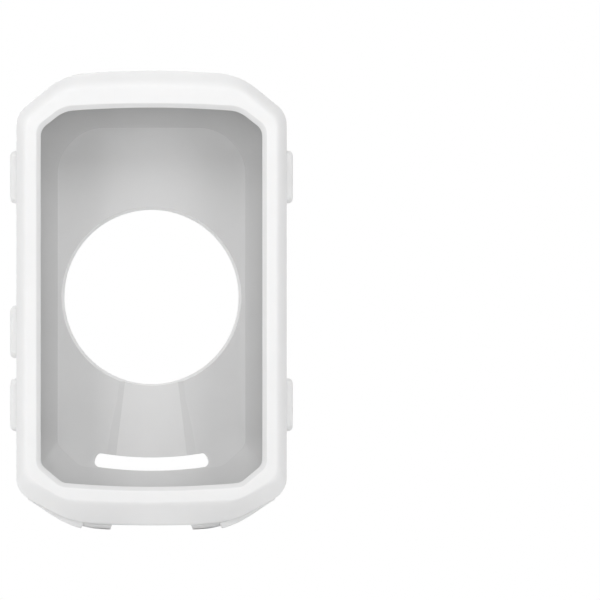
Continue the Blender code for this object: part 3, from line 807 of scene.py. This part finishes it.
def silicone():
    material = bpy.data.materials.new("white_silicone")
    material.use_nodes = True
    tree = material.node_tree
    nodes, links = tree.nodes, tree.links
    shader = nodes["Principled BSDF"]
    for socket, value in SILICONE.items():
        shader.inputs[socket].default_value = value
    where = nodes.new("ShaderNodeTexCoord").outputs["Object"]
    painted_shade_and_matt = shade_and_matt_share(tree, where)

    tint = nodes.new("ShaderNodeValToRGB")
    for stop, position, colour in zip(tint.color_ramp.elements, DUST_SPREAD, (DUSTY, WHITE)):
        stop.position, stop.color = position, colour
    links.new(noise(tree, where, *DUST_NOISE), tint.inputs["Fac"])
    # Painted shade: the base colour is multiplied towards the grey by each face's share.
    shade = nodes.new("ShaderNodeMix")
    shade.data_type, shade.blend_type = "RGBA", "MULTIPLY"
    shade.clamp_factor = False
    links.new(painted_shade_and_matt, shade.inputs["Factor"])
    links.new(tint.outputs["Color"], shade.inputs["A"])
    shade.inputs["B"].default_value = PAINTED_SHADE_GREY
    links.new(shade.outputs["Result"], shader.inputs["Base Color"])

    rough = nodes.new("ShaderNodeMath")
    rough.operation = "MULTIPLY_ADD"
    links.new(painted_shade_and_matt, rough.inputs[0])
    rough.inputs[1].default_value = DULL_ROUGHNESS
    links.new(ramp(tree, noise(tree, where, *GLOSS_NOISE), GLOSS_SPREAD, ROUGHNESS), rough.inputs[2])
    links.new(rough.outputs["Value"], shader.inputs["Roughness"])

    rounded = nodes.new("ShaderNodeBevel")
    rounded.samples = EDGE_SAMPLES
    rounded.inputs["Radius"].default_value = EDGE_RADIUS
    grain = nodes.new("ShaderNodeBump")
    grain.inputs["Strength"].default_value = GRAIN_STRENGTH
    grain.inputs["Distance"].default_value = GRAIN_HEIGHT
    links.new(noise(tree, where, *GRAIN_NOISE), grain.inputs["Height"])
    links.new(rounded.outputs["Normal"], grain.inputs["Normal"])
    links.new(grain.outputs["Normal"], shader.inputs["Normal"])
    return material


white_silicone = silicone()
for piece in [sleeve, *pads]:
    piece.data.materials.clear()
    piece.data.materials.append(white_silicone)
print("material on", 1 + len(pads), "pieces")

# %% [markdown]
# ## Studio
# The photo is a product picture on pure white, taken straight on from far away, so the camera is
# orthographic and level. The case stands in the left half of that picture, so the camera is a little to its
# right. The world is white for what the camera sees and grey for what lights the case. Square lamps stand
# all round and shine at the case: the strongest are above it in front, on both sides in front and behind
# it, and the left gets more light than the right, as in the photo.

# %% Camera, world and lamps
PIXEL, PICTURE = 0.2125 * MM, 600
FRAME_WIDTH = PICTURE * PIXEL
CASE_X, CASE_Z = 151.5, 297.0
CAMERA_BACK = 1.0
WORLD_LEVEL = 0.345
LAMPS = {
    "front_top_box": ((0.0, -0.7, 0.7), 0.4, 2.7),
    "front_left_box": ((-0.7, -0.7, 0.16), 0.4, 2.0),
    "front_right_box": ((0.7, -0.7, 0.16), 0.4, 1.65),
    "side_left_box": ((-1.0, 0.0, 0.16), 0.4, 0.7),
    "top_box": ((0.0, 0.0, 1.0), 0.4, 0.8),
    "back_top_box": ((0.0, 0.7, 0.7), 0.4, 1.1),
    "back_left_box": ((-0.2, 0.95, 0.2), 0.3, 3.7),
}

scene = bpy.context.scene
scene.view_settings.view_transform = "Standard"
camera = bpy.data.objects.new("camera", bpy.data.cameras.new("camera"))
camera.data.type = "ORTHO"
camera.data.ortho_scale = FRAME_WIDTH
camera.data.clip_start, camera.data.clip_end = 0.01, 10.0
camera.location = ((PICTURE / 2 - CASE_X) * PIXEL, -CAMERA_BACK, (CASE_Z - PICTURE / 2) * PIXEL)
camera.rotation_euler = (math.pi / 2, 0.0, 0.0)
scene.collection.objects.link(camera)
scene.camera = camera


def looked_at(tree):
    """One where the camera, a reflection or a clear piece looks, and nought where light is gathered."""
    path = tree.nodes.new("ShaderNodeLightPath")
    seen = path.outputs["Is Camera Ray"]
    for kind in ("Is Glossy Ray", "Is Transmission Ray"):
        seen = combine(tree, "MAXIMUM", seen, path.outputs[kind])
    return seen


def white_world(level):
    """White to look at, and only as strong as level as a light."""
    world = bpy.data.worlds.new("white_world")
    world.use_nodes = True
    tree = world.node_tree
    strength = tree.nodes.new("ShaderNodeMix")
    tree.links.new(looked_at(tree), strength.inputs["Factor"])
    strength.inputs["A"].default_value = level
    strength.inputs["B"].default_value = 1.0
    background = tree.nodes["Background"]
    background.inputs["Color"].default_value = (1.0, 1.0, 1.0, 1.0)
    tree.links.new(strength.outputs["Result"], background.inputs["Strength"])
    return world


def lamp(name, position, size, watts):
    """A square lamp that shines at the case."""
    light = bpy.data.lights.new(name, "AREA")
    light.size = size
    light.energy = watts
    made = bpy.data.objects.new(name, light)
    made.location = position
    made.rotation_euler = (-Vector(position)).to_track_quat("-Z", "Y").to_euler()
    scene.collection.objects.link(made)
    return made


scene.world = white_world(WORLD_LEVEL)
lamps = [lamp(name, *setting) for name, setting in LAMPS.items()]
print(len(lamps), "lamps, camera frame", round(FRAME_WIDTH, 4), "m wide")

# %% [markdown]
# ## Floor
# The floor lies just under the case. Near the case it is a plain pale surface with the shadow on it.
# Further out the camera sees more and more of a white glow instead, so that no edge or horizon shows. The
# glow is only for looking at and lights nothing.

# %% Make the floor
FLOOR_HALF, FLOOR_BELOW = 3.0, 0.0003
FLOOR_COLOUR, FLOOR_ROUGHNESS = (0.95, 0.95, 0.95, 1.0), 0.9
FADE = (0.03, 0.2)


def pale_floor():
    material = bpy.data.materials.new("pale_floor")
    material.use_nodes = True
    tree = material.node_tree
    nodes, links = tree.nodes, tree.links
    matt = nodes["Principled BSDF"]
    matt.inputs["Base Color"].default_value = FLOOR_COLOUR
    matt.inputs["Roughness"].default_value = FLOOR_ROUGHNESS
    reach = nodes.new("ShaderNodeVectorMath")
    reach.operation = "LENGTH"
    links.new(nodes.new("ShaderNodeTexCoord").outputs["Object"], reach.inputs[0])
    fade = ramp(tree, reach.outputs["Value"], FADE, (0.0, 1.0), "SMOOTHSTEP")
    both = nodes.new("ShaderNodeMixShader")
    links.new(combine(tree, "MULTIPLY", fade, looked_at(tree)), both.inputs["Fac"])
    links.new(matt.outputs["BSDF"], both.inputs[1])
    links.new(nodes.new("ShaderNodeEmission").outputs["Emission"], both.inputs[2])
    links.new(both.outputs["Shader"], nodes["Material Output"].inputs["Surface"])
    return material


floor_mesh = bmesh.new()
lie = Matrix.Translation((0.0, 0.0, cad_low.z - FLOOR_BELOW))
bmesh.ops.create_grid(floor_mesh, x_segments=1, y_segments=1, size=FLOOR_HALF, matrix=lie)
floor_data = bpy.data.meshes.new("floor")
floor_mesh.to_mesh(floor_data)
floor_mesh.free()
floor = bpy.data.objects.new("floor", floor_data)
scene.collection.objects.link(floor)
floor_data.materials.append(pale_floor())
print("floor at", round(1000 * lie.translation.z, 2), "mm")
